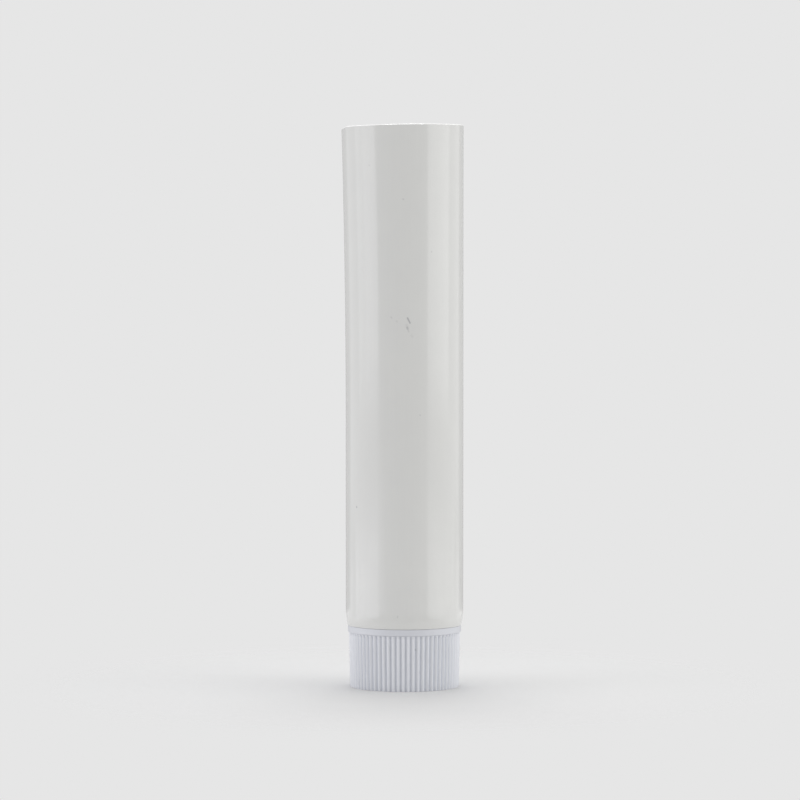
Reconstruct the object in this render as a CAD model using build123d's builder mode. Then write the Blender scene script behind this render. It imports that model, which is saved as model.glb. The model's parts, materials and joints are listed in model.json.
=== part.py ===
from build123d import *
import os
from math import radians, sqrt, tan

# An unfilled lotion tube that stands on its ribbed screw cap with the open end up. Millimetres, +Z up.
# The origin is the middle of the cap's end face. All pieces but the sleeve's open end are centred on Z.

# Sleeve
sleeve_diameter = 35.0
sleeve_length = 148.0
sleeve_wall = 0.5
draw_in = 0.5  # how far the lower edge comes in over the shoulder
draw_height = 5.0  # the length of sleeve that comes in
lower_edge_bevel = 0.15

# Open end, pressed slightly oval, moved towards -X and cut a little askew
oval_height = 90.0  # the length of sleeve that turns from round to oval
oval_gain = 0.65  # what the rim's half width gains along X and loses along Y
oval_shift = 0.6  # how far the rim's middle lies towards -X
oval_sections = 3
rim_skew = 0.6  # how much lower the rim lies on its -X side than on its +X side

# Shoulder, neck and outlet
rim_height = 2.6  # the band of the shoulder that is fused to the sleeve
rim_wall = 1.0
flat_margin = 0.1  # how far the flat ring over the cap's collar reaches inside the collar
shoulder_slope = 12.0  # degrees
shoulder_wall = 1.2
neck_diameter = 13.4  # at the root of the thread
neck_length = 10.0
neck_wall = 1.2
neck_root_bevel = 0.6
lip_wall = 1.0
lip_bevel = 0.3
outlet_diameter = 3.8

# Foil disc on the outlet
foil_thickness = 0.15
foil_margin = 0.3  # the ring of lip that stays bare round the foil

# Cap
cap_height = 18.3
cap_gap = 0.15  # the dark line between the collar and the sleeve
collar_inset = 0.15  # how far the collar stands back from the sleeve's lower edge
collar_step = 0.3  # how far the collar stands out from the skirt
skirt_taper = 0.35  # what the skirt's radius loses from the collar to the end plate
skirt_wall = 1.2  # at the end plate, measured over the ribs
end_wall = 1.4
end_bevel = 0.4
collar_height = 1.9
collar_top_bevel = 0.3
collar_foot_bevel = 0.25
groove_count = 68
groove_width = 0.8
groove_floor = 0.34
groove_depth = 0.35
thread_room = 0.9  # from the neck's root to the socket's wall, filled by the two threads
socket_wall = 1.2
socket_lead_in = 0.5
socket_clearance = 0.6  # below the neck's root
seal_ring_diameter = 9.2
seal_ring_wall = 1.2
seal_clearance = 0.05  # between the sealing ring and the foil
web_count = 6
web_thickness = 0.9
web_height = 3.6
web_bite = 0.5  # how deep a web's ends reach into the walls that it joins

# Heights and radii that follow
sleeve_radius = sleeve_diameter / 2
sleeve_base = cap_height + cap_gap
sleeve_rim = sleeve_base + sleeve_length
draw_top = sleeve_base + draw_height
draw_radius = (draw_height**2 + draw_in**2) / (2 * draw_in)
oval_base = sleeve_rim - oval_height

collar_radius = sleeve_radius - draw_in - collar_inset
skirt_top_radius = collar_radius - collar_step
skirt_end_radius = skirt_top_radius - skirt_taper
skirt_bore_radius = skirt_end_radius - skirt_wall

cone_radius = skirt_bore_radius - flat_margin
neck_radius = neck_diameter / 2
bore_radius = neck_radius - neck_wall
outlet_radius = outlet_diameter / 2


def drawn_radius(height, inset):
    """Radius of the sleeve's drawn-in foot: an arc that leaves the straight wall at draw_top."""
    return sleeve_radius - draw_radius + sqrt((draw_radius - inset) ** 2 - (draw_top - height) ** 2)


def foot_arc(low, high, inset):
    """The stretch of the drawn-in foot between two heights."""
    heights = (low, (low + high) / 2, high)
    return ThreePointArc(*[(drawn_radius(height, inset), height) for height in heights])


def cone_height(radius):
    """Height of the shoulder's outer face, a cone that falls from its flat ring to the neck."""
    return sleeve_base - (cone_radius - radius) * tan(radians(shoulder_slope))


neck_base = cone_height(neck_radius)
neck_end = neck_base - neck_length
bore_end = neck_end + lip_wall
foil_radius = neck_radius - foil_margin
foil_base = neck_end - foil_thickness

collar_base = cap_height - collar_height
socket_radius = neck_radius + thread_room
socket_outer_radius = socket_radius + socket_wall
socket_top = neck_base - socket_clearance
seal_ring_radius = seal_ring_diameter / 2
seal_ring_top = foil_base - seal_clearance
groove_mouth = 2 * groove_width - groove_floor  # as far outside the skirt as the floor lies inside

os.makedirs("parts", exist_ok=True)

# Sleeve: a round stretch with a drawn-in foot, then a stretch whose sections turn oval towards the cut rim
with BuildPart() as tube_sleeve:
    with BuildSketch(Plane.XZ) as wall_section:
        with BuildLine():
            outer_foot = foot_arc(sleeve_base, draw_top, 0)
            inner_foot = foot_arc(sleeve_base, draw_top, sleeve_wall)
            Line(inner_foot @ 0, outer_foot @ 0)
            Polyline(
                outer_foot @ 1,
                (sleeve_radius, oval_base),
                (sleeve_radius - sleeve_wall, oval_base),
                inner_foot @ 1,
            )
        make_face()
        outer_corner = wall_section.vertices().sort_by_distance(outer_foot @ 0)[0]
        chamfer(outer_corner, length=lower_edge_bevel)
    revolve(axis=Axis.Z)
    for wall_radius, mode in ((sleeve_radius, Mode.ADD), (sleeve_radius - sleeve_wall, Mode.SUBTRACT)):
        for step in range(oval_sections + 1):
            share = step / oval_sections
            bend = share**2
            with BuildSketch(Plane.XY.offset(oval_base + share * (oval_height + rim_skew))):
                with Locations((-oval_shift * bend, 0)):
                    Ellipse(wall_radius + oval_gain * bend, wall_radius - oval_gain * bend)
        loft(ruled=True, mode=mode)
    rim_plane = Plane(
        origin=(0, 0, sleeve_rim), x_dir=(sleeve_diameter, 0, rim_skew), z_dir=(-rim_skew, 0, sleeve_diameter)
    )
    split(bisect_by=rim_plane, keep=Keep.BOTTOM)

tube_sleeve.part.label = "tube_sleeve"
export_step(tube_sleeve.part, "parts/tube_sleeve.step")

# Head: the rim fused inside the sleeve's foot, the sloping shoulder, and the neck with its small outlet
with BuildPart() as tube_head:
    rim_top = sleeve_base + rim_height
    rim_inner_radius = drawn_radius(rim_top, sleeve_wall) - rim_wall
    with BuildSketch(Plane.XZ) as head_section:
        with BuildLine():
            rim = foot_arc(sleeve_base, rim_top, sleeve_wall)
            Polyline(
                rim @ 1,
                (rim_inner_radius, rim_top),
                (rim_inner_radius, cone_height(rim_inner_radius) + shoulder_wall),
                (bore_radius, cone_height(bore_radius) + shoulder_wall),
                (bore_radius, bore_end),
                (outlet_radius, bore_end),
                (outlet_radius, neck_end),
                (neck_radius, neck_end),
                (neck_radius, neck_base),
                (cone_radius, sleeve_base),
                rim @ 0,
            )
        make_face()
        for corner_height, bevel in ((neck_base, neck_root_bevel), (neck_end, lip_bevel)):
            neck_corner = head_section.vertices().sort_by_distance((neck_radius, corner_height))[0]
            chamfer(neck_corner, length=bevel)
    revolve(axis=Axis.Z)

tube_head.part.label = "tube_head"
export_step(tube_head.part, "parts/tube_head.step")

# Foil: a thin disc on the lip of the neck
with BuildPart() as foil_seal:
    with BuildSketch(Plane.XY.offset(foil_base)):
        Circle(foil_radius)
    extrude(amount=foil_thickness)

foil_seal.part.label = "foil_seal"
export_step(foil_seal.part, "parts/foil_seal.step")

# Cap: the skirt, with flat lands between its grooves, then the collar, socket, sealing ring and webs
with BuildPart() as screw_cap:
    skirt_sections = (
        (skirt_end_radius - end_bevel, 0),
        (skirt_end_radius, end_bevel),
        (skirt_top_radius, collar_base),
    )
    for radius, height in skirt_sections:
        with BuildSketch(Plane.XY.offset(height)):
            RegularPolygon(radius, groove_count, major_radius=False)
            with PolarLocations(radius, groove_count):
                Polygon(
                    (-groove_depth, -groove_floor / 2),
                    (groove_depth, -groove_mouth / 2),
                    (groove_depth, groove_mouth / 2),
                    (-groove_depth, groove_floor / 2),
                    align=None,
                    mode=Mode.SUBTRACT,
                )
    loft(ruled=True)
    with BuildSketch(Plane.XY.offset(end_wall)):
        Circle(skirt_bore_radius)
    extrude(until=Until.LAST, mode=Mode.SUBTRACT)

    collar_section = (
        (skirt_bore_radius, collar_base),
        (collar_radius - collar_foot_bevel, collar_base),
        (collar_radius, collar_base + collar_foot_bevel),
        (collar_radius, cap_height - collar_top_bevel),
        (collar_radius - collar_top_bevel, cap_height),
        (skirt_bore_radius, cap_height),
    )
    socket_section = (
        (socket_radius, end_wall),
        (socket_outer_radius, end_wall),
        (socket_outer_radius, socket_top),
        (socket_radius + socket_lead_in, socket_top),
        (socket_radius, socket_top - socket_lead_in),
    )
    seal_ring_section = (
        (seal_ring_radius - seal_ring_wall, end_wall),
        (seal_ring_radius, end_wall),
        (seal_ring_radius, seal_ring_top),
        (seal_ring_radius - seal_ring_wall, seal_ring_top),
    )
    for section in (collar_section, socket_section, seal_ring_section):
        with BuildSketch(Plane.XZ):
            Polygon(*section, align=None)
        revolve(axis=Axis.Z)

    web_reach = skirt_bore_radius - socket_outer_radius + 2 * web_bite
    web_middle = socket_outer_radius - web_bite + web_reach / 2
    with BuildSketch(Plane.XY.offset(end_wall)):
        with PolarLocations(web_middle, web_count):
            Rectangle(web_reach, web_thickness)
    extrude(amount=web_height)

screw_cap.part.label = "screw_cap"
export_step(screw_cap.part, "parts/screw_cap.step")
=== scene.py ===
# %% [markdown]
# # A lotion tube that stands on its cap
#
# This lesson dresses a plastic squeeze tube, as a packer gets it: unfilled, with its open end up and its
# ribbed screw cap underneath. The solids of the tube are already made and packed, so the lesson starts by
# loading them. They fix where every piece goes. Each cell then makes one piece or one finish around them.

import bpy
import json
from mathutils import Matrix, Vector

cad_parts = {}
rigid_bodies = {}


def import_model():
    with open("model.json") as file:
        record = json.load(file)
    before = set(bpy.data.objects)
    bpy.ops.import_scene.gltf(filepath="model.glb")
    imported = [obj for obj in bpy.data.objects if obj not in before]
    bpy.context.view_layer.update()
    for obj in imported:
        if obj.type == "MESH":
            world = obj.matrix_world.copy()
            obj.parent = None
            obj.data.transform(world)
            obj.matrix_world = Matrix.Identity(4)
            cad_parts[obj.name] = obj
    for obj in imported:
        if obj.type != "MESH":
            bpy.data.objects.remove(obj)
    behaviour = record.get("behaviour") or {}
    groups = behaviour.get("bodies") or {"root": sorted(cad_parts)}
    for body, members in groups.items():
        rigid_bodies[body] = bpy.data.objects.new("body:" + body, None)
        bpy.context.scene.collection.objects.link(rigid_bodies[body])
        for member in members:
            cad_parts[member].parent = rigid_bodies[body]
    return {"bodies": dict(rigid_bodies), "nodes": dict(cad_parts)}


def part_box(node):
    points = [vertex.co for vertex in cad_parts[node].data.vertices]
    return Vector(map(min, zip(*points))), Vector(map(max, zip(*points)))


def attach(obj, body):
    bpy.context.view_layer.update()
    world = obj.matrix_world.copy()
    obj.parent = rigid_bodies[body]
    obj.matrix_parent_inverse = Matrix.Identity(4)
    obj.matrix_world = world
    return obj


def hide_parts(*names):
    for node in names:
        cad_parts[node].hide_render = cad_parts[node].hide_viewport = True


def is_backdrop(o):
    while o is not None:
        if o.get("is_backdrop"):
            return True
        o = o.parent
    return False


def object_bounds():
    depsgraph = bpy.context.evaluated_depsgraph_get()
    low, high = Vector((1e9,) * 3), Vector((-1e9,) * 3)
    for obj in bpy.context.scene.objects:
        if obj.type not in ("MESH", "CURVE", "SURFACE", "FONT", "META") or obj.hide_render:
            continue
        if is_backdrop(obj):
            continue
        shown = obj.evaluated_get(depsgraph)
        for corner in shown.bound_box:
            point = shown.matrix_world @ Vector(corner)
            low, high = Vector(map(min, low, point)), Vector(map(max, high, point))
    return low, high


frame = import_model()
cad_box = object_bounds()
print("bodies:", ", ".join(frame["bodies"]), "| nodes:", ", ".join(frame["nodes"]))

# %% [markdown]
# ## Sizes
#
# All lengths are written in millimetres, as on a drawing, and become metres only when a mesh is made. The
# large ones are read from the boxes of the solids, so the lesson follows the drawing. The small ones,
# such as walls and roundings, are written down where the piece that needs them is made.

# %% Read the sizes from the solids
import json

import bmesh
import bpy
import numpy as np

MM = 0.001  # metres in a millimetre
TURN = 2 * np.pi


def box_mm(node):
    """Lowest and highest corner of a solid, in millimetres."""
    return [np.array(corner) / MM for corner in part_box(node)]


_, cap_high = box_mm("screw_cap")
head_low, head_high = box_mm("tube_head")
foil_low, foil_high = box_mm("foil_seal")
sleeve_low, sleeve_high = box_mm("tube_sleeve")

cap_height = cap_high[2]
collar_radius = cap_high[0]
neck_end = head_low[2]
rim_top = head_high[2]
foil_radius = foil_high[0]
sleeve_base = sleeve_low[2]
sleeve_radius = sleeve_high[1]  # the open end is narrower along Y, so this is the straight stretch
print(f"sleeve: {2 * sleeve_radius:.1f} mm wide, from {sleeve_base:.2f} to {sleeve_high[2]:.2f} mm")
print(f"cap: {cap_height:.2f} mm high, neck: down to {neck_end:.2f} mm")

# %% [markdown]
# ## From a grid of points to a mesh
#
# Every piece of this tube was turned, extruded or moulded about one axis, so each one is a grid: one
# direction runs along a section, the other runs round the axis or along a helix. numpy works out the
# whole grid at once. The faces only join neighbours in the grid. Where a row shrinks to a single point,
# as in the middle of the cap's end, merging the doubles turns its squares into a fan of triangles and
# closes the surface.

# %% Build a mesh from grids
MERGE_DISTANCE = 0.0001  # points nearer to each other than this become one


def grid_faces(rows, columns, loop_rows=False, loop_columns=True):
    """Squares between neighbouring points of a grid. Columns, and rows if asked, close into a ring."""
    index = np.arange(rows * columns).reshape(rows, columns)
    if loop_columns:
        index = np.hstack([index, index[:, :1]])
    if loop_rows:
        index = np.vstack([index, index[:1]])
    corners = (index[:-1, :-1], index[:-1, 1:], index[1:, 1:], index[1:, :-1])
    return np.stack(corners, axis=-1).reshape(-1, 4)


def make_piece(name, grids, body, replaced=(), loop_rows=False):
    """One object from one or more grids of points in millimetres, riding on a body of the frame."""
    points, faces, used = [], [], 0
    for grid in grids:
        rows, columns = grid.shape[:2]
        points.append(grid.reshape(-1, 3) * MM)
        faces.append(grid_faces(rows, columns, loop_rows) + used)
        used += rows * columns
    mesh = bpy.data.meshes.new(name)
    mesh.from_pydata(np.vstack(points), [], np.vstack(faces))
    shell = bmesh.new()
    shell.from_mesh(mesh)
    bmesh.ops.remove_doubles(shell, verts=shell.verts, dist=MERGE_DISTANCE * MM)
    bmesh.ops.recalc_face_normals(shell, faces=shell.faces)
    open_edges = sum(edge.is_boundary for edge in shell.edges)
    shell.to_mesh(mesh)
    shell.free()
    mesh.shade_smooth()
    piece = bpy.data.objects.new(name, mesh)
    bpy.context.scene.collection.objects.link(piece)
    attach(piece, body)
    if replaced:
        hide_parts(*replaced)
    print(f"{name}: {len(mesh.vertices)} points, {len(mesh.polygons)} faces, {open_edges} open edges")
    return piece


print("three rings of four points:", len(grid_faces(3, 4)), "faces")

# %% [markdown]
# ## Sections with rounded corners
#
# No edge of moulded plastic is sharp, and the eye reads a moulding by the thin highlights on its edges. A
# section is therefore written as its few corners, each with the radius that rounds it, and a formula puts
# an arc there. A holding point just outside each arc keeps the flat beside it flat when the shading is
# smoothed. A Bevel modifier could round the edges as well, but it would treat all of them alike.

# %% Round the corners of a section
ARC_STEPS = 4
HOLD = 0.4  # distance of a holding point from its arc, in radii of the arc


def unit(vectors):
    """Vectors divided by their own length."""
    return vectors / np.linalg.norm(vectors, axis=-1, keepdims=True)


def rounded(corners, closed=False):
    """A section of straight runs: each corner (radius, height, rounding) gives way to an arc.

    With half the angle between two runs called h, the arc starts rounding / tan(h) from the corner, and its
    centre lies rounding / sin(h) from the corner on the line between the runs.
    """
    corners = np.array(corners, dtype=float)
    places, roundings = corners[:, :2], corners[:, 2]
    last = len(corners) - 1
    along = np.linspace(0, 1, ARC_STEPS + 1)[:, None]
    stretches = []
    for number, (place, rounding) in enumerate(zip(places, roundings)):
        is_end = not closed and number in (0, last)
        if rounding == 0 or is_end:
            stretches.append(place[None])
            continue
        back = unit(places[number - 1] - place)
        on = unit(places[(number + 1) % len(places)] - place)
        half = np.arccos(np.clip(back @ on, -1, 1)) / 2
        reach = rounding / np.tan(half)
        centre = place + unit(back + on) * rounding / np.sin(half)
        spokes = (place + back * reach - centre) * (1 - along) + (place + on * reach - centre) * along
        arc = centre + rounding * unit(spokes)
        hold = HOLD * rounding
        stretches.append(np.vstack([place + back * (reach + hold), arc, place + on * (reach + hold)]))
    return np.vstack(stretches)


def filled_in(section, spacing):
    """The same section with extra points, so that no step along it is longer than the spacing.

    The way along the section is the running sum of its steps, and the extra points lie at multiples of the
    spacing on that way.
    """
    steps = np.linalg.norm(np.diff(section, axis=0), axis=1)
    travelled = np.concatenate([[0], np.cumsum(steps)])
    wanted = np.unique(np.concatenate([travelled, np.arange(0, travelled[-1], spacing)]))
    return np.stack([np.interp(wanted, travelled, column) for column in section.T], axis=-1)


def turned(section, columns):
    """A section carried round the axis: x = radius * cos(angle), y = radius * sin(angle), z = height."""
    angle = np.linspace(0, TURN, columns, endpoint=False)
    radius, height = section[:, :1], section[:, 1:2]
    return np.stack([radius * np.cos(angle), radius * np.sin(angle), height + 0 * angle], axis=-1)


def smooth_step(share):
    """0 below 0, 1 above 1, and 3 t^2 - 2 t^3 in between."""
    share = np.clip(share, 0, 1)
    return share**2 * (3 - 2 * share)


print("a square corner rounded by 1 mm:", len(rounded([(0, 0, 0), (5, 0, 1), (5, 5, 0)])), "points")

# %% [markdown]
# ## The sleeve
#
# The sleeve is cut from an extruded pipe of soft white plastic. Its wall is half a millimetre thick. At
# the foot it is drawn in over the moulded shoulder. The open end has been pressed a little oval and leans
# to one side, because nothing holds it yet. The knife has left the rim slightly askew and has sunk a
# little at the end of its cut. A Solidify modifier on a cylinder would give the wall, but not its rounded
# rim, so the section of the wall is carried round the axis, and the oval, the lean, the dip and a very
# faint waviness are added as functions of angle and height. Each point also keeps its distance from the
# rim, for the painted highlight on the cut edge.

# %% Sleeve
SLEEVE_WALL = 0.5
DRAW_IN = 0.5  # how far the foot comes in
DRAW_HEIGHT = 5.0
OVAL_HEIGHT = 90.0
RIM_SKEW = 0.6  # how much lower the rim is on one side than on the other
RIM_DIP = 0.5  # how far the knife has sunk at the end of the cut, at -X
RIM_DIP_START = 0.9  # the share of the half width at which the dip starts
RIM_DIP_POWER = 8  # how fast the dip fades out below the rim
RIM_ROUNDING = 0.22
FOOT_ROUNDING = 0.06
FOOT_REACH = 0.05  # how far the soft foot comes down over the joint to the cap
WAVE = 0.015  # height of the waviness
WAVES = ((2, 31.0, 1.0), (3, -19.0, 0.6))  # lobes, millimetres per radian upwards, share of the height
SLEEVE_COLUMNS = 240
SLEEVE_SPACING = 1.25

sleeve_rim = sleeve_high[2] - RIM_SKEW / 2
draw_top = sleeve_base + DRAW_HEIGHT
draw_radius = (DRAW_HEIGHT**2 + DRAW_IN**2) / (2 * DRAW_IN)
oval_gain = (sleeve_high[0] - sleeve_low[0]) / 2 - sleeve_radius
oval_shift = -(sleeve_high[0] + sleeve_low[0]) / 2


def foot_radius(height, inset):
    """Radius of the wall, an arc below draw_top and straight above it.

    The arc's middle lies draw_radius inside the straight wall. The radius is the place of that middle
    plus the root of (draw_radius - inset)^2 less the square of the way below draw_top.
    """
    below = np.maximum(draw_top - height, 0)
    return sleeve_radius - draw_radius + np.sqrt((draw_radius - inset) ** 2 - below**2)


def oval_share(height):
    """How far the wall has turned oval: the square of the way up the stretch that turns oval."""
    return np.clip((height - (sleeve_rim - OVAL_HEIGHT)) / OVAL_HEIGHT, 0, 1) ** 2


def on_front(x, height):
    """The point of the sleeve's front at x and a height.

    On an oval with the half widths a along X and b along Y, y is minus b times the root of 1 - (x / a)^2,
    with x taken from the middle of the oval.
    """
    bend = oval_share(height)
    radius = foot_radius(height, 0)
    across = (x + oval_shift * bend) / (radius + oval_gain * bend)
    return np.array([x, -(radius - oval_gain * bend) * np.sqrt(1 - across**2), height])


def sleeve_grid():
    """The wall's section (inset, height) carried round, and the distance of each point from the rim.

    The share of the oval widens the radius along X, narrows it along Y and moves it towards -X. The skew
    lifts each point by its x, and the dip fades out downwards with a high power of the share.
    """
    section = rounded(
        [
            (0, sleeve_base - FOOT_REACH, FOOT_ROUNDING),
            (0, sleeve_rim, RIM_ROUNDING),
            (SLEEVE_WALL, sleeve_rim, RIM_ROUNDING),
            (SLEEVE_WALL, sleeve_base - FOOT_REACH, 0),
        ],
        closed=True,
    )
    section = filled_in(section, SLEEVE_SPACING)
    angle = np.linspace(0, TURN, SLEEVE_COLUMNS, endpoint=False)
    inset, height = section[:, :1], section[:, 1:2]
    bend = oval_share(height)
    loose = np.clip((height - draw_top) / OVAL_HEIGHT, 0, 1)
    wave = sum(share * np.sin(lobes * angle + height / length) for lobes, length, share in WAVES)
    radius = foot_radius(height, inset) + WAVE * loose * wave
    x = (radius + oval_gain * bend) * np.cos(angle) - oval_shift * bend
    y = (radius - oval_gain * bend) * np.sin(angle)
    dip = RIM_DIP * smooth_step((-np.cos(angle) - RIM_DIP_START) / (1 - RIM_DIP_START))
    z = height + RIM_SKEW * bend * x / (2 * sleeve_radius) - dip * bend**RIM_DIP_POWER
    return np.stack([x, y, z], axis=-1), sleeve_rim - height + 0 * angle


sleeve_points, below_rim = sleeve_grid()
sleeve_wall = make_piece(
    "sleeve_wall", [sleeve_points], "tube", ["tube_sleeve"], loop_rows=True
)
sleeve_wall.data.attributes.new("below_rim", "FLOAT", "POINT").data.foreach_set("value", below_rim.ravel())
print(f"below_rim runs from {below_rim.min():.2f} to {below_rim.max():.2f} mm")

# %% [markdown]
# ## The head
#
# The shoulder, the neck and the small outlet are one moulding, fused inside the foot of the sleeve. It
# shows when the tube is lifted off its cap, and from above through the open end. One closed section,
# turned about the axis, makes all of it.

# %% Head
RIM_WALL = 1.0
SHOULDER_SLOPE = np.radians(12)
SHOULDER_WALL = 1.2
CONE_RADIUS = 14.9  # where the flat ring over the cap's collar ends
NECK_RADIUS = 6.7
NECK_WALL = 1.2
LIP_WALL = 1.0
OUTLET_RADIUS = 1.9
FUSED_GAP = 0.02  # keeps the fused faces of head and sleeve from fighting in the render
HEAD_COLUMNS = 192
HEAD_SPACING = 1.0

bore_radius = NECK_RADIUS - NECK_WALL
rim_inner = foot_radius(rim_top, SLEEVE_WALL) - RIM_WALL
rim_middle = (sleeve_base + rim_top) / 2


def cone_height(radius):
    """Height of the shoulder's outer face: it falls by tan(slope) per millimetre towards the axis."""
    return sleeve_base - (CONE_RADIUS - radius) * np.tan(SHOULDER_SLOPE)


def fused_radius(height):
    """Radius of the rim that is fused to the sleeve's inside: the wall's inner radius less a thin gap."""
    return foot_radius(height, SLEEVE_WALL) - FUSED_GAP


# Radius, height and rounding of each corner
head_section = rounded(
    [
        (fused_radius(sleeve_base), sleeve_base, 0.08),
        (fused_radius(rim_middle), rim_middle, 0),
        (fused_radius(rim_top), rim_top, 0.1),
        (rim_inner, rim_top, 0.3),
        (rim_inner, cone_height(rim_inner) + SHOULDER_WALL, 0.5),
        (bore_radius, cone_height(bore_radius) + SHOULDER_WALL, 0.8),
        (bore_radius, neck_end + LIP_WALL, 0.4),
        (OUTLET_RADIUS, neck_end + LIP_WALL, 0.2),
        (OUTLET_RADIUS, neck_end, 0.15),
        (NECK_RADIUS, neck_end, 0.35),
        (NECK_RADIUS, cone_height(NECK_RADIUS), 0.8),
        (CONE_RADIUS, sleeve_base, 1.0),
    ],
    closed=True,
)
head_moulding = make_piece(
    "head_moulding",
    [turned(filled_in(head_section, HEAD_SPACING), HEAD_COLUMNS)],
    "tube",
    ["tube_head"],
    loop_rows=True,
)

# %% [markdown]
# ## The thread on the neck
#
# The thread is a ridge carried along a helix. It swells from nothing and fades to nothing, as a moulded
# thread does, so its ends close by themselves. The foot of the ridge lies a little inside the wall that
# carries it. A Screw modifier would carry the ridge along the helix as well, but it couldn't fade it out.

# %% Thread on the neck
THREAD_PITCH = 3.0
THREAD_LOW = 1.6  # above the neck's end
THREAD_HIGH = 8.6
RIDGE_HEIGHT = 0.7
RIDGE_FOOT = 1.4
RIDGE_CREST = 0.55
RIDGE_ROUNDING = 0.15
RIDGE_SUNK = 0.08  # how deep the foot of the ridge lies in its wall
FADE = TURN / 5  # the stretch over which the ridge swells and fades
STEPS_PER_TURN = 120


def thread_grid(wall_radius, outwards, low, high, phase):
    """A ridge's section carried up a right-handed helix: height = low + pitch * angle / one turn.

    The section is scaled by a share that rises from 0 to 1 and falls back to 0 at the ends of the helix.
    """
    crest = RIDGE_HEIGHT + RIDGE_SUNK
    section = rounded(
        [
            (0, -RIDGE_FOOT / 2, 0),
            (crest, -RIDGE_CREST / 2, RIDGE_ROUNDING),
            (crest, RIDGE_CREST / 2, RIDGE_ROUNDING),
            (0, RIDGE_FOOT / 2, 0),
        ]
    )
    sweep = TURN * (high - low) / THREAD_PITCH
    angle = np.linspace(0, sweep, int(sweep / TURN * STEPS_PER_TURN))[:, None]
    swell = smooth_step(angle / FADE) * smooth_step((sweep - angle) / FADE)
    radius = wall_radius + outwards * (section[:, 0] * swell - RIDGE_SUNK)
    height = low + THREAD_PITCH * angle / TURN + section[:, 1] * swell
    return np.stack([radius * np.cos(angle + phase), radius * np.sin(angle + phase), height], axis=-1)


neck_thread = make_piece(
    "neck_thread",
    [thread_grid(NECK_RADIUS, 1, neck_end + THREAD_LOW, neck_end + THREAD_HIGH, 0)],
    "tube",
)

# %% [markdown]
# ## The foil seal
#
# A round of aluminium foil closes the outlet until the first use. It is pressed on with a waffled tool,
# so its face is covered with shallow dimples. They are far smaller than the disc, but they are what makes
# foil look like foil, so they are in the shape: each point of the lower face rises by a product of two
# squared cosines.

# %% Foil
FOIL_ROUNDING = 0.05
DIMPLE_PITCH = 0.9
DIMPLE_DEPTH = 0.035
FOIL_COLUMNS = 160
FOIL_SPACING = 0.16


def foil_grid():
    """A thin turned disc whose lower face rises by depth * cos^2(pi x / pitch) * cos^2(pi y / pitch).

    The dimples fade out within one pitch of the edge.
    """
    low, high = foil_low[2], foil_high[2]
    section = rounded(
        [(0, low, 0), (foil_radius, low, FOIL_ROUNDING), (foil_radius, high, FOIL_ROUNDING), (0, high, 0)]
    )
    grid = turned(filled_in(section, FOIL_SPACING), FOIL_COLUMNS)
    x, y, z = np.moveaxis(grid, -1, 0)
    dimple = (np.cos(np.pi * x / DIMPLE_PITCH) * np.cos(np.pi * y / DIMPLE_PITCH)) ** 2
    edge = smooth_step((foil_radius - np.hypot(x, y)) / DIMPLE_PITCH)
    is_lower = z < (low + high) / 2
    return np.stack([x, y, z + DIMPLE_DEPTH * dimple * edge * is_lower], axis=-1)


foil_disc = make_piece("foil_disc", [foil_grid()], "seal", ["foil_seal"])

# %% [markdown]
# ## The cap
#
# The cap is the piece with the most work in it: a skirt with 68 fine grooves for the fingers, a smooth
# collar that closes the joint to the sleeve, a flat end to stand on, and inside it a socket with a thread
# and a sealing ring. It is still one section turned about the axis. Only the outside of the skirt
# differs: its points come in by the depth of a groove, and the depth is a function of the angle, a round
# flute between two narrow crests. Below the collar each groove runs out smoothly, and at the end the
# rounded edge follows it. Boolean cuts would give the same grooves with hard edges.

# %% Cap
GROOVE_COUNT = 68
GROOVE_SHIFT = 0.22  # how far beside the front the cap has come to rest, in grooves
GROOVE_DEPTH = 0.5
CREST_ROUNDING = 0.08  # in half pitches
FRONT_TURN = -0.25  # where the front, -Y, lies, in turns from +X
RUN_OUT = 0.8  # the length over which a groove ends below the collar
RUN_OUT_HOLD = 1.25  # where the section's first point for it lies, in run-outs below the collar
RUN_OUT_STEPS = 6
COLUMNS_PER_GROOVE = 12
COLLAR_HEIGHT = 1.9
COLLAR_STEP = 0.3
COLLAR_REACH = 0.065  # how far the collar comes up towards the sleeve's soft foot
SKIRT_TAPER = 0.35
SKIRT_WALL = 1.2
END_WALL = 1.4
END_ROUNDING = 0.15
SOCKET_RADIUS = 7.6
SOCKET_WALL = 1.2
SOCKET_CLEARANCE = 0.6
LEAD_IN = 0.5
SEAL_RADIUS = 4.6
SEAL_WALL = 1.2
SEAL_CLEARANCE = 0.05
GATE_RADIUS = 1.3  # the shallow dimple that the moulding tool leaves in the middle of the end
GATE_DEPTH = 0.25

groove_turn = TURN * GROOVE_SHIFT / GROOVE_COUNT
collar_base = cap_height - COLLAR_HEIGHT
collar_top = cap_height + COLLAR_REACH
skirt_end = collar_radius - COLLAR_STEP - SKIRT_TAPER
skirt_bore = skirt_end - SKIRT_WALL
skirt_middle = skirt_bore + SKIRT_WALL / 2
socket_top = cone_height(NECK_RADIUS) - SOCKET_CLEARANCE
socket_outer = SOCKET_RADIUS + SOCKET_WALL
seal_top = foil_low[2] - SEAL_CLEARANCE


def skirt_radius(height):
    """Radius over the crests: it grows by the taper times the share of the way up to the collar."""
    return skirt_end + SKIRT_TAPER * np.clip(height / collar_base, 0, 1)


def groove_share(angle):
    """1 in the middle of a groove and 0 on a crest, with one groove just beside the front.

    The way t from a crest to the middle runs from 0 to 1, and the groove is the round flute 1 - (1 - t)^2.
    The root of t^2 plus a small square stands in for t, which rounds the crest.
    """
    grooves = ((angle - groove_turn) / TURN - FRONT_TURN) * GROOVE_COUNT
    from_crest = 1 - 2 * np.abs(grooves - np.round(grooves))
    soft = np.hypot(from_crest, CREST_ROUNDING) - CREST_ROUNDING
    whole = np.hypot(1, CREST_ROUNDING) - CREST_ROUNDING
    return 1 - (1 - soft / whole) ** 2


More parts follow.
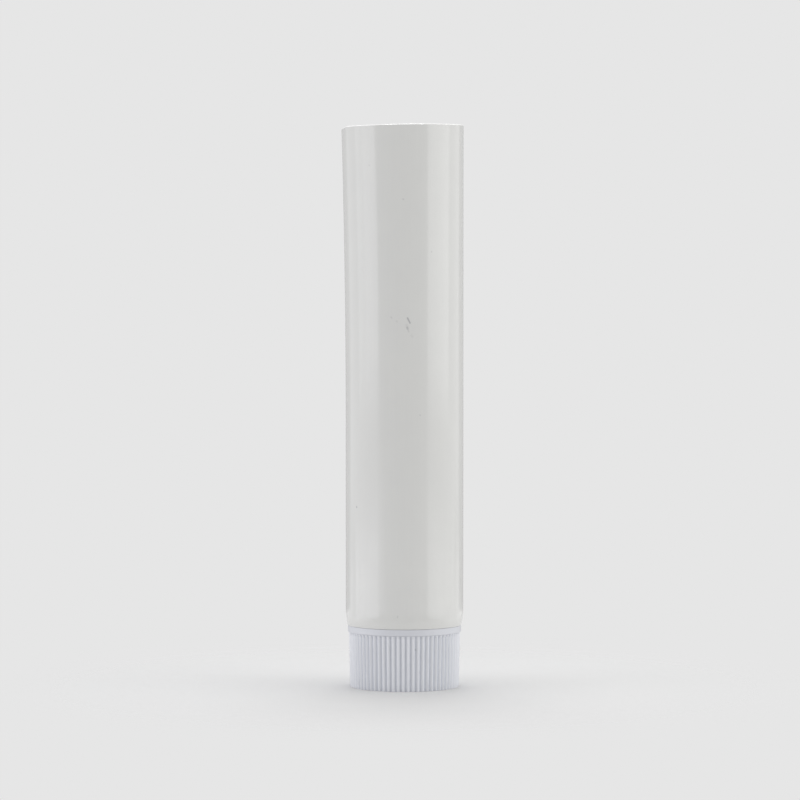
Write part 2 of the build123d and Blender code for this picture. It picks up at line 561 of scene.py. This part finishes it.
run_out_heights = collar_base - RUN_OUT * np.linspace(RUN_OUT_HOLD, 0, RUN_OUT_STEPS)
# Radius, height and rounding of each corner
cap_section = rounded(
    [
        (0, GATE_DEPTH, 0),
        (GATE_RADIUS, GATE_DEPTH, 0.15),
        (GATE_RADIUS + GATE_DEPTH, 0, 0.2),
        (skirt_end, 0, END_ROUNDING),
        *[(skirt_radius(height), height, 0) for height in run_out_heights],
        (collar_radius, collar_base, 0.12),
        (collar_radius, collar_top, 0.14),
        (skirt_bore, collar_top, 0.14),
        (skirt_bore, END_WALL, 0.6),
        (socket_outer, END_WALL, 0.5),
        (socket_outer, socket_top, 0.3),
        (SOCKET_RADIUS + LEAD_IN, socket_top, 0.12),
        (SOCKET_RADIUS, socket_top - LEAD_IN, 0.2),
        (SOCKET_RADIUS, END_WALL, 0.5),
        (SEAL_RADIUS, END_WALL, 0.4),
        (SEAL_RADIUS, seal_top, 0.25),
        (SEAL_RADIUS - SEAL_WALL, seal_top, 0.25),
        (SEAL_RADIUS - SEAL_WALL, END_WALL, 0.4),
        (0, END_WALL, 0),
    ]
)


def cap_grid():
    """The cap's section turned about the axis. On the skirt the radius loses depth * groove share.

    The depth falls to nothing towards the collar, by a smooth step over the run-out.
    """
    columns = GROOVE_COUNT * COLUMNS_PER_GROOVE
    radius, height = cap_section[:, :1], cap_section[:, 1:2]
    angle = groove_turn + np.linspace(0, TURN, columns, endpoint=False)
    depth = GROOVE_DEPTH * smooth_step((collar_base - height) / RUN_OUT)
    on_skirt = (height <= collar_base) & (radius > skirt_middle)
    radius = radius - depth * groove_share(angle) * on_skirt
    return np.stack([radius * np.cos(angle), radius * np.sin(angle), height + 0 * angle], axis=-1)


cap_moulding = make_piece("cap_moulding", [cap_grid()], "cap", ["screw_cap"])

# %% [markdown]
# ## Inside the cap
#
# Six thin webs stiffen the end between the socket and the skirt, and the thread of the socket fits
# between the turns of the thread on the neck, half a pitch away. Both are pieces of their own that sink a
# little into the walls that carry them, because a web is not round about the axis and a helix never meets
# its own start.

# %% Webs and thread of the cap
WEB_COUNT = 6
WEB_THICKNESS = 0.9
WEB_HEIGHT = 3.6
WEB_ROUNDING = 0.3
WEB_BITE = 0.4  # how deep a web's ends and foot reach into the walls
WEB_STEPS = 12
SOCKET_THREAD_LOW = 2.2  # above the neck's end
SOCKET_THREAD_HIGH = 8.2


def web_grids():
    """A web's section, a strip with a rounded top, carried along the radius and closed at both ends.

    A web at an angle has x = reach * cos(angle) - across * sin(angle), y = reach * sin(angle) + across *
    cos(angle). Its first and last section shrink to their middle, which closes it.
    """
    half = WEB_THICKNESS / 2
    top = END_WALL + WEB_HEIGHT
    foot = END_WALL - WEB_BITE
    section = rounded(
        [(-half, foot, 0), (half, foot, 0), (half, top, WEB_ROUNDING), (-half, top, WEB_ROUNDING)],
        closed=True,
    )
    reach = np.linspace(socket_outer - WEB_BITE, skirt_bore + WEB_BITE, WEB_STEPS)
    reach = np.concatenate([reach[:1], reach, reach[-1:]])[:, None]
    middle = np.array([0, (foot + top) / 2])
    size = np.ones_like(reach)
    size[[0, -1]] = 0
    across, height = np.moveaxis(middle + (section - middle) * size[..., None], -1, 0)
    for angle in np.arange(WEB_COUNT) * TURN / WEB_COUNT:
        x = reach * np.cos(angle) - across * np.sin(angle)
        y = reach * np.sin(angle) + across * np.cos(angle)
        yield np.stack([x, y, height], axis=-1)


cap_webs = make_piece("cap_webs", list(web_grids()), "cap")
socket_thread = make_piece(
    "socket_thread",
    [thread_grid(SOCKET_RADIUS, -1, neck_end + SOCKET_THREAD_LOW, neck_end + SOCKET_THREAD_HIGH, np.pi)],
    "cap",
)

# %% [markdown]
# ## Writing materials as sums
#
# A material is a small program made of nodes. Wired by hand it is slow to write and hard to read, so two
# short classes help. Wire holds the output of a node, and adding, subtracting or multiplying Wires and
# numbers adds the Math node for it. Finish holds one material, and its method node adds any other node:
# first its settings, then its sockets.

# %% Two classes for materials
class Wire:
    """A value on its way through a material. Arithmetic on it adds Math nodes to that material."""

    def __init__(self, finish, socket):
        self.finish = finish
        self.socket = socket

    def __getitem__(self, output):
        """Another output of the node that this value comes from."""
        return Wire(self.finish, self.socket.node.outputs[output])

    def math(self, operation, first, second):
        """The value of a Math node."""
        return self.finish.node("ShaderNodeMath", {"operation": operation}, {0: first, 1: second})

    def __add__(self, other):
        return self.math("ADD", self, other)

    def __sub__(self, other):
        return self.math("SUBTRACT", self, other)

    def __rsub__(self, other):
        return self.math("SUBTRACT", other, self)

    def __mul__(self, other):
        return self.math("MULTIPLY", self, other)

    __radd__ = __add__
    __rmul__ = __mul__


class Finish:
    """A material that is being put together."""

    def __init__(self, name):
        self.material = bpy.data.materials.new(name)
        self.material.use_nodes = True
        self.tree = self.material.node_tree
        self.tree.nodes.clear()

    def node(self, kind, settings=None, inputs=None):
        """Adds a node, with its settings first and then the values or links of its sockets."""
        node = self.tree.nodes.new(kind)
        for name, value in (settings or {}).items():
            setattr(node, name, value)
        for socket, value in (inputs or {}).items():
            if isinstance(value, Wire):
                self.tree.links.new(value.socket, node.inputs[socket])
            else:
                node.inputs[socket].default_value = value
        return Wire(self, node.outputs[0]) if node.outputs else None

    def place(self, scale=(1, 1, 1)):
        """Object coordinates in millimetres, stretched by a scale."""
        coordinates = self.node("ShaderNodeTexCoord")["Object"]
        per_mm = tuple(share / MM for share in scale)
        inputs = {"Vector": coordinates, "Scale": per_mm}
        return self.node("ShaderNodeMapping", {"vector_type": "POINT"}, inputs)

    def noise(self, place, size, detail=2.0):
        """Cloudy values around 0.5 whose spots are about as wide as the size, in millimetres."""
        inputs = {"Vector": place, "Scale": 1 / size, "Detail": detail}
        return self.node("ShaderNodeTexNoise", {"noise_dimensions": "3D"}, inputs)

    def vector(self, operation, first, second=(0, 0, 0)):
        """A Vector Math node."""
        return self.node("ShaderNodeVectorMath", {"operation": operation}, {0: first, 1: second})

    def between(self, value, low, high):
        """0 where the value is at or under low, 1 at or over high, and 3 t^2 - 2 t^3 on the way."""
        inputs = {"Value": value, "From Min": low, "From Max": high}
        return self.node("ShaderNodeMapRange", {"interpolation_type": "SMOOTHSTEP"}, inputs)

    def mixed(self, share, first, second):
        """A colour between two colours, at sockets 6 and 7 of a Mix node, with their mix at output 2."""
        return self.node("ShaderNodeMix", {"data_type": "RGBA"}, {0: share, 6: first, 7: second})[2]

    def bump(self, height, depth):
        """Normals bent by a height of 0 to 1, for a relief of the given depth in millimetres."""
        inputs = {"Height": height, "Distance": depth * MM, "Strength": 1.0}
        return self.node("ShaderNodeBump", None, inputs)

    def principled(self, **inputs):
        """Ends the material with a Principled shader."""
        sockets = {name.replace("_", " "): value for name, value in inputs.items()}
        shader = self.node("ShaderNodeBsdfPrincipled", None, sockets)
        self.node("ShaderNodeOutputMaterial", None, {"Surface": shader})
        return self.material


def dress(material, *pieces):
    """Gives pieces their material."""
    for piece in pieces:
        piece.data.materials.append(material)
    names = ", ".join(piece.name for piece in pieces)
    print(f"{material.name}: {len(material.node_tree.nodes)} nodes on {names}")


trial = Finish("trial")
trial_mask = 1 - 2 * trial.noise(trial.place(), 5.0)
print(f"1 - 2 * noise: {len(trial.tree.nodes)} nodes, the last one is {trial_mask.socket.node.operation}")
bpy.data.materials.remove(trial.material)

# %% [markdown]
# ## The sleeve's plastic
#
# Soft white polyethylene looks even, and yet a flat colour would give it away as a drawing. The die that
# the pipe is drawn through leaves hair lines along it, the gloss is a little cloudy, and handling leaves
# specks and fine scuffs. The lines are a noise that is stretched along the tube, the clouds are the same
# noise in its own proportions, and the specks are the middles of a few cells of a Voronoi pattern. The
# scuffs that anyone would notice are drawn one by one, as the distance from a short line, because no
# noise would put them there. The foot is painted whiter than the rest, as painted light where the drawn-in
# foot turns down into shade, and a narrow strip along the cut rim carries a painted highlight.

# %% Sleeve plastic
WHITE = (0.542, 0.542, 0.528, 1)
CLOUDED_WHITE = (0.532, 0.532, 0.52, 1)
# painted light: the drawn-in foot, which turns down into shade, is painted whiter
FOOT_PAINTED_LIGHT = (0.576, 0.576, 0.562, 1)
FOOT_LOW, FOOT_HIGH = sleeve_base + 1.2, sleeve_base + 3.8
# painted highlight: the cut rim is painted near white
RIM_PAINTED_HIGHLIGHT = (0.88, 0.88, 0.87, 1)
RIM_HIGHLIGHT_BAND = 0.22  # the strip along the rim that carries the painted highlight
SCUFF_GREY = (0.27, 0.27, 0.28, 1)
LINE_WIDTH = 0.45
LINE_STRETCH = 0.012
LINE_DEPTH = 0.0012
CLOUD_SIZE = 7.0
CLOUD_DETAIL = 3.0
CLOUD_SHARE, LINE_SHARE = 0.6, 0.4
CLOUD_LOW, CLOUD_HIGH = 0.3, 0.7  # the values of the noise between which a cloud deepens
SPECK_CELL = 13.0
SPECK_RADIUS = 0.32
SPECK_CHOICE = (0.4, 0.9)  # a cell's random value at which its speck starts to show and is full
SLEEVE_ROUGHNESS, SLEEVE_CLOUDS, SLEEVE_MARKS = 0.12, 0.06, 0.2  # even part, and what clouds and marks add
POLYETHYLENE_IOR = 1.5

# Start and end (x, height), radius and darkness of the scuffs at the front, in millimetres
SCUFFS = (
    ((0.85, 109.78), (1.58, 108.32), 0.36, 0.7),
    ((0.75, 107.00), (1.20, 105.80), 0.40, 0.3),
    ((0.60, 107.60), (0.80, 106.90), 0.80, 0.24),
    ((2.05, 104.60), (2.20, 104.35), 0.70, 0.2),
    ((-3.98, 110.07), (-3.75, 109.80), 0.36, 0.3),
    ((-2.37, 108.90), (-2.20, 108.60), 0.36, 0.28),
    ((-0.47, 144.50), (-0.30, 144.40), 0.34, 0.38),
    ((-10.43, 154.50), (-10.30, 154.40), 0.34, 0.3),
    ((7.87, 129.20), (7.95, 129.10), 0.34, 0.38),
    ((4.50, 81.40), (4.60, 81.30), 0.34, 0.35),
    ((-14.10, 54.12), (-14.10, 53.95), 0.36, 0.85),
    ((-2.05, 22.40), (-2.05, 22.10), 0.34, 0.35),
)


def scuff_mask(finish, place, start, end, radius, darkness):
    """The darkness on a short line, 0 a radius away from it.

    The share of the way along the line is the dot product of the point's offset with the line over the
    line's squared length, held between 0 and 1. The distance is measured to the point of the line there.
    """
    along = end - start
    offset = finish.vector("SUBTRACT", place, start)
    share = finish.node(
        "ShaderNodeMath",
        {"operation": "DIVIDE", "use_clamp": True},
        {0: finish.vector("DOT_PRODUCT", offset, along)["Value"], 1: along @ along},
    )
    nearest = finish.node("ShaderNodeVectorMath", {"operation": "SCALE"}, {0: along, "Scale": share})
    distance = finish.vector("DISTANCE", offset, nearest)["Value"]
    return (1 - finish.between(distance, radius / 4, radius)) * darkness


def speck_mask(finish, place, cell, radius, choice):
    """1 in the middle of a Voronoi cell, 0 a radius away, times the cell's own random share."""
    cells = finish.node("ShaderNodeTexVoronoi", {"feature": "F1"}, {"Vector": place, "Scale": 1 / cell})
    random = finish.node("ShaderNodeSeparateColor", None, {"Color": cells["Color"]})
    return (1 - finish.between(cells["Distance"], 0, radius / cell)) * finish.between(random, *choice)


def sleeve_plastic():
    """White with clouds, die lines, specks and scuffs, painted light at the foot, a painted highlight on
    the rim.
    """
    finish = Finish("sleeve_plastic_finish")
    place = finish.place()
    lines = finish.noise(finish.place((1, 1, LINE_STRETCH)), LINE_WIDTH)
    cloud = finish.noise(place, CLOUD_SIZE, CLOUD_DETAIL)
    scuffs = sum(
        scuff_mask(finish, place, on_front(*start), on_front(*end), radius, darkness)
        for start, end, radius, darkness in SCUFFS
    )
    specks = speck_mask(finish, place, SPECK_CELL, SPECK_RADIUS, SPECK_CHOICE)
    marks = finish.between(scuffs + specks, 0, 1)
    clouded = finish.between(CLOUD_SHARE * cloud + LINE_SHARE * lines, CLOUD_LOW, CLOUD_HIGH)
    colour = finish.mixed(clouded, WHITE, CLOUDED_WHITE)
    height = finish.node("ShaderNodeSeparateXYZ", None, {0: place})["Z"]
    # painted light: the foot is painted whiter
    colour = finish.mixed(1 - finish.between(height, FOOT_LOW, FOOT_HIGH), colour, FOOT_PAINTED_LIGHT)
    colour = finish.mixed(marks, colour, SCUFF_GREY)
    # painted highlight along the cut rim
    from_rim = finish.node("ShaderNodeAttribute", {"attribute_name": "below_rim"})["Fac"]
    colour = finish.mixed(1 - finish.between(from_rim, RIM_HIGHLIGHT_BAND / 2, RIM_HIGHLIGHT_BAND), colour, RIM_PAINTED_HIGHLIGHT)
    roughness = SLEEVE_ROUGHNESS + SLEEVE_CLOUDS * cloud + SLEEVE_MARKS * marks
    normal = finish.bump(lines, LINE_DEPTH)
    return finish.principled(Base_Color=colour, Roughness=roughness, Normal=normal, IOR=POLYETHYLENE_IOR)


dress(sleeve_plastic(), sleeve_wall)

# %% [markdown]
# ## The cap's plastic
#
# The cap is harder, cooler white polypropylene from a spark-eroded tool, so it has a very fine grain.
# Shade is painted into its grooves and light onto its crests. The angle about the axis, times the number
# of grooves, runs through one turn from groove to groove, so the cosine of it is a ready mask that fits
# the shape. Towards its end the skirt is painted whiter, as painted light against the shade near the
# floor. One groove at the front has caught a small dark mark.

# %% Cap plastic
COOL_WHITE = (0.522, 0.532, 0.565, 1)
# painted light on the crests and painted shade in the grooves
CREST_PAINTED_LIGHT = (0.65, 0.66, 0.692, 1)
GROOVE_PAINTED_SHADE = (0.46, 0.475, 0.521, 1)
# painted light: crests and grooves painted whiter towards the end, against the shade near the floor
END_CREST_PAINTED_LIGHT = (0.704, 0.715, 0.75, 1)
END_GROOVE_PAINTED_LIGHT_AND_SHADE = (0.496, 0.513, 0.562, 1)
END_LOW, END_HIGH = 2.0, 13.0  # the heights between which painted light makes the skirt whiter downwards
GROOVE_SHADE = -0.3  # the cosine at which the shade of a groove starts
COLLAR_BLEND = 0.2  # the height over which the shades of the skirt end below the collar
MARK_GREY = (0.33, 0.34, 0.37, 1)
GROOVE_SCUFF = ((3.22, 12.5), (3.22, 12.25), 0.4, 0.65)  # start and end (x, height), radius and darkness
CAP_SPECK_CELL = 9.0
CAP_SPECK_RADIUS = 0.27
CAP_SPECK_CHOICE = (0.5, 0.9)
GRAIN_SIZE = 0.16
GRAIN_DEPTH = 0.006
CAP_ROUGHNESS, CAP_CLOUDS, CAP_GROOVES = 0.34, 0.08, 0.1  # even part, and what clouds and grooves add
POLYPROPYLENE_IOR = 1.49


def in_groove(x, height):
    """The point at x and a height on the bottom of the grooves: y is minus the root of radius^2 - x^2."""
    radius = skirt_radius(height) - GROOVE_DEPTH
    return np.array([x, -np.sqrt(radius**2 - x**2), height])


def cap_plastic():
    """Cool white with a fine grain, painted shade and duller gloss in the grooves, painted light on the
    crests.
    """
    finish = Finish("cap_plastic_finish")
    place = finish.place()
    axes = finish.node("ShaderNodeSeparateXYZ", None, {0: place})
    x, y, height = axes["X"], axes["Y"], axes["Z"]
    angle = finish.node("ShaderNodeMath", {"operation": "ARCTAN2"}, {0: y, 1: x})
    from_groove = (angle - (TURN * FRONT_TURN + groove_turn)) * GROOVE_COUNT
    wave = finish.node("ShaderNodeMath", {"operation": "COSINE"}, {0: from_groove})
    groove = finish.between(wave, GROOVE_SHADE, 1)
    from_axis = finish.vector("LENGTH", finish.vector("MULTIPLY", place, (1, 1, 0)))["Value"]
    outside = finish.between(from_axis, skirt_bore, skirt_middle)
    skirt = outside * (1 - finish.between(height, collar_base - COLLAR_BLEND, collar_base))
    # painted light on the crests, painted shade in the grooves
    upper = finish.mixed(groove, CREST_PAINTED_LIGHT, GROOVE_PAINTED_SHADE)
    lower = finish.mixed(groove, END_CREST_PAINTED_LIGHT, END_GROOVE_PAINTED_LIGHT_AND_SHADE)
    # painted light towards the end of the skirt
    ribbed = finish.mixed(1 - finish.between(height, END_LOW, END_HIGH), upper, lower)
    colour = finish.mixed(skirt, COOL_WHITE, ribbed)
    start, end, *look = GROOVE_SCUFF
    scuff = scuff_mask(finish, place, in_groove(*start), in_groove(*end), *look)
    specks = speck_mask(finish, place, CAP_SPECK_CELL, CAP_SPECK_RADIUS, CAP_SPECK_CHOICE)
    colour = finish.mixed(finish.between(scuff + specks, 0, 1), colour, MARK_GREY)
    cloud = finish.noise(place, CLOUD_SIZE, CLOUD_DETAIL)
    roughness = CAP_ROUGHNESS + CAP_CLOUDS * cloud + CAP_GROOVES * groove * skirt
    normal = finish.bump(finish.noise(place, GRAIN_SIZE), GRAIN_DEPTH)
    return finish.principled(Base_Color=colour, Roughness=roughness, Normal=normal, IOR=POLYPROPYLENE_IOR)


dress(cap_plastic(), cap_moulding, cap_webs, socket_thread)

# %% [markdown]
# ## Head and foil
#
# The head is moulded from the sleeve's own plastic, unpolished, so it is a warmer and duller white. The
# foil is aluminium under a clear lacquer: a metal whose roughness is cloudy where the lacquer is thick
# and thin.

# %% Head plastic and foil
HEAD_WHITE = (0.60, 0.60, 0.58, 1)
HEAD_CLOUDED = (0.565, 0.565, 0.545, 1)
HEAD_CLOUD_SIZE = 3.0
HEAD_GRAIN_SIZE = 0.2
HEAD_GRAIN_DEPTH = 0.008
HEAD_ROUGHNESS, HEAD_CLOUDS = 0.36, 0.14  # even part, and what clouds add
FOIL_METAL = (0.80, 0.80, 0.82, 1)
FOIL_DULL = (0.70, 0.70, 0.71, 1)
FOIL_CLOUD_SIZE = 1.2
FOIL_CLOUD_LOW, FOIL_CLOUD_HIGH = 0.35, 0.65
FOIL_ROUGHNESS, FOIL_CLOUDS = 0.22, 0.2


def head_plastic():
    """Warm white, satin, with the grain of an unpolished tool."""
    finish = Finish("head_plastic_finish")
    place = finish.place()
    cloud = finish.noise(place, HEAD_CLOUD_SIZE, CLOUD_DETAIL)
    colour = finish.mixed(finish.between(cloud, CLOUD_LOW, CLOUD_HIGH), HEAD_WHITE, HEAD_CLOUDED)
    roughness = HEAD_ROUGHNESS + HEAD_CLOUDS * cloud
    normal = finish.bump(finish.noise(place, HEAD_GRAIN_SIZE), HEAD_GRAIN_DEPTH)
    return finish.principled(Base_Color=colour, Roughness=roughness, Normal=normal, IOR=POLYETHYLENE_IOR)


def seal_foil():
    """Aluminium with a cloudy lacquer."""
    finish = Finish("seal_foil_finish")
    cloud = finish.noise(finish.place(), FOIL_CLOUD_SIZE, CLOUD_DETAIL)
    colour = finish.mixed(finish.between(cloud, FOIL_CLOUD_LOW, FOIL_CLOUD_HIGH), FOIL_METAL, FOIL_DULL)
    roughness = FOIL_ROUGHNESS + FOIL_CLOUDS * cloud
    return finish.principled(Base_Color=colour, Roughness=roughness, Metallic=1.0)


dress(head_plastic(), head_moulding, neck_thread)
dress(seal_foil(), foil_disc)

# %% [markdown]
# ## Floor and background
#
# The tube stands on a pale floor that fades away before its far edge can show, and the world behind it
# has the same pale grey. The floor is matt and a shade darker than white, so it keeps the soft shadow
# under the cap. It has a hole, hidden by the cap that stands on it, so that the cap's end can be looked
# at from below.

# %% Floor and background
BACKGROUND = (0.791, 0.791, 0.791, 1)
FLOOR_COLOUR = (0.655, 0.655, 0.655, 1)
FLOOR_SOLID = 48.0  # radius to which the floor is solid
FLOOR_FADED = 140.0  # radius at which it has faded away
FLOOR_SPACING = 10.0
FLOOR_COLUMNS = 96
FLOOR_HOLE = 14.0
FLOOR_HEIGHT = 0.02  # keeps the floor out of the plane of the cap's end

scene = bpy.context.scene


def stage_piece(name, grid, loop_columns=True):
    """A mesh that belongs to the studio and not to the tube."""
    mesh = bpy.data.meshes.new(name)
    faces = grid_faces(*grid.shape[:2], loop_columns=loop_columns)
    mesh.from_pydata(grid.reshape(-1, 3) * MM, [], faces)
    piece = bpy.data.objects.new(name, mesh)
    scene.collection.objects.link(piece)
    piece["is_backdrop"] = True
    return piece


def floor_finish():
    """A matt surface mixed with a clear one by the distance from the axis."""
    finish = Finish("floor_finish")
    from_axis = finish.vector("LENGTH", finish.place())["Value"]
    matt = finish.node("ShaderNodeBsdfDiffuse", None, {"Color": FLOOR_COLOUR})
    clear = finish.node("ShaderNodeBsdfTransparent")
    faded = finish.between(from_axis, FLOOR_SOLID, FLOOR_FADED)
    surface = finish.node("ShaderNodeMixShader", None, {0: faded, 1: matt, 2: clear})
    finish.node("ShaderNodeOutputMaterial", None, {"Surface": surface})
    return finish.material


floor_section = np.array([(FLOOR_HOLE, FLOOR_HEIGHT), (FLOOR_FADED, FLOOR_HEIGHT)])
floor = stage_piece("floor", turned(filled_in(floor_section, FLOOR_SPACING), FLOOR_COLUMNS))
dress(floor_finish(), floor)

scene.view_settings.view_transform = "Standard"
world = bpy.data.worlds.new("studio")
world.use_nodes = True
world.node_tree.nodes["Background"].inputs["Color"].default_value = BACKGROUND
scene.world = world

# %% [markdown]
# ## Panels
#
# A white tube on a white ground is drawn by its reflections. A tall soft panel on either side puts a
# broad pale band along each flank and leaves a calm grey stripe between them. Its brightness falls off in
# steps towards the back, and a low strip under it stands for the lit table, which the foot of the tube
# reflects. A panel overhead draws the thin bright line on the cut rim. The panels are hidden from the
# camera.

# %% Panels
PANEL_DISTANCE = 600.0
# Front and back edge in degrees from the line of sight, lowest and highest point, radiance
SIDE_PANELS = {
    "left": (
        (51, 78, 67, 480, 1.8),
        (78, 98, 67, 480, 1.2),
        (98, 130, 67, 480, 0.35),
        (51, 130, 5, 67, 0.4),
        (41, 51, -130, 5, 0.9),
        (51, 78, -130, 5, 2.3),
        (78, 95, -130, 5, 2.0),
        (95, 110, -130, 2, 1.4),
        (110, 150, -130, -15, 0.5),
    ),
    "right": (
        (45.5, 94, 67, 480, 1.8),
        (94, 130, 67, 480, 0.5),
        (45.5, 130, 5, 67, 0.4),
        (45.5, 78, -130, 5, 1.95),
        (78, 95, -130, 5, 1.45),
        (95, 112, -130, 2, 0.95),
        (112, 150, -130, -15, 0.6),
    ),
}
LEFT_COLOUR, RIGHT_COLOUR, NEUTRAL = (0.985, 0.985, 1.03), (1.0, 1.0, 1.0), (1.0, 1.0, 1.0)
GLOW_LOW, GLOW_HIGH = -130.0, 5.0  # the lit table in front of the tube
GLOW_RADIANCE = 0.5
TOP_HEIGHT = 420.0
TOP_WIDTH, TOP_FRONT, TOP_BACK = 120.0, -15.0, 185.0
TOP_RADIANCE = 8.0
UPRIGHT = np.pi / 2


def panel(name, place, turn, width, height, radiance, colour):
    """An area lamp of an even radiance, hidden from the camera: its power is pi * radiance * area."""
    lamp = bpy.data.lights.new(name, "AREA")
    lamp.shape = "RECTANGLE"
    lamp.size, lamp.size_y = width * MM, height * MM
    lamp.energy = np.pi * radiance * lamp.size * lamp.size_y
    lamp.color = colour
    holder = bpy.data.objects.new(name, lamp)
    holder.location = np.array(place) * MM
    holder.rotation_euler = turn
    holder.visible_camera = False
    scene.collection.objects.link(holder)
    print(f"{name}: {lamp.energy:.2f} W")


def side_panel(name, side, front, back, low, high, radiance, colour):
    """An upright panel beside the tube, between two angles from the line of sight and two heights.

    An edge at the angle a lies at y = -distance / tan(a).
    """
    near, far = (-PANEL_DISTANCE / np.tan(np.radians(edge)) for edge in (front, back))
    middle = (side * PANEL_DISTANCE, (near + far) / 2, (low + high) / 2)
    panel(name, middle, (UPRIGHT, 0, side * np.pi / 2), far - near, high - low, radiance, colour)


for name, side, colour in (("left", -1, LEFT_COLOUR), ("right", 1, RIGHT_COLOUR)):
    for number, (*edges, radiance) in enumerate(SIDE_PANELS[name]):
        side_panel(f"{name}_panel_{number}", side, *edges, radiance, colour)
glow_middle = (0, -PANEL_DISTANCE, (GLOW_LOW + GLOW_HIGH) / 2)
glow_size = (2 * PANEL_DISTANCE, GLOW_HIGH - GLOW_LOW)
panel("front_glow", glow_middle, (UPRIGHT, 0, 0), *glow_size, GLOW_RADIANCE, NEUTRAL)
top_middle = (0, (TOP_FRONT + TOP_BACK) / 2, TOP_HEIGHT)
panel("top_panel", top_middle, (0, 0, 0), TOP_WIDTH, TOP_BACK - TOP_FRONT, TOP_RADIANCE, NEUTRAL)

# %% [markdown]
# ## Cards
#
# Two grey cards behind the tube, just outside the picture, darken what its edges reflect, so that they
# stand out from the background. They are bent round the tube and hidden from the camera.

# %% Cards
CARD_RADIUS = 420.0
CARD_NEAR, CARD_FAR = np.radians(8), np.radians(48)  # from the line of sight behind the tube
CARD_LOW, CARD_HIGH = -20.0, 330.0
CARD_COLUMNS = 24
CARD_ROWS = 8
CARD_GREY = (0.46, 0.46, 0.46, 1)


def card_finish(name):
    """Plain matt grey."""
    finish = Finish(name)
    grey = finish.node("ShaderNodeBsdfDiffuse", None, {"Color": CARD_GREY})
    finish.node("ShaderNodeOutputMaterial", None, {"Surface": grey})
    return finish.material


card_angle = np.linspace(CARD_NEAR, CARD_FAR, CARD_COLUMNS)
card_height = np.linspace(CARD_LOW, CARD_HIGH, CARD_ROWS)[:, None]
for name, side in (("left_card", -1), ("right_card", 1)):
    x, y = side * CARD_RADIUS * np.sin(card_angle), CARD_RADIUS * np.cos(card_angle)
    card = stage_piece(name, np.stack(np.broadcast_arrays(x, y, card_height), axis=-1), loop_columns=False)
    card.visible_camera = False
    dress(card_finish(name + "_finish"), card)

# %% [markdown]
# ## Camera
#
# The camera stands a metre away, a little above the middle of the tube, and looks slightly down. A long
# lens at that distance keeps the flanks of the tube almost parallel, as in a catalogue picture.

# %% Camera
CAMERA_PLACE = (-1.346, -1040.18, 117.65)
CAMERA_PITCH = np.radians(1.783)  # below the horizon
CAMERA_LENS = 157.5
SENSOR_WIDTH = 36.0

camera_data = bpy.data.cameras.new("camera")
camera_data.lens = CAMERA_LENS
camera_data.sensor_width = SENSOR_WIDTH
camera = bpy.data.objects.new("camera", camera_data)
camera.location = np.array(CAMERA_PLACE) * MM
camera.rotation_euler = (UPRIGHT - CAMERA_PITCH, 0, 0)
scene.collection.objects.link(camera)
scene.camera = camera
print(f"camera {-CAMERA_PLACE[1]:.0f} mm in front, {CAMERA_PLACE[2]:.1f} mm up")

# %% [markdown]
# ## Last measurements
#
# The dressed tube should fill the same box as its solids. The largest difference of the two boxes is
# printed.

# %% Sizes and finish
visual_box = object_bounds()
difference = np.abs(np.array(visual_box) - np.array(cad_box)).max() / MM
print(f"largest difference of the boxes: {difference:.3f} mm")
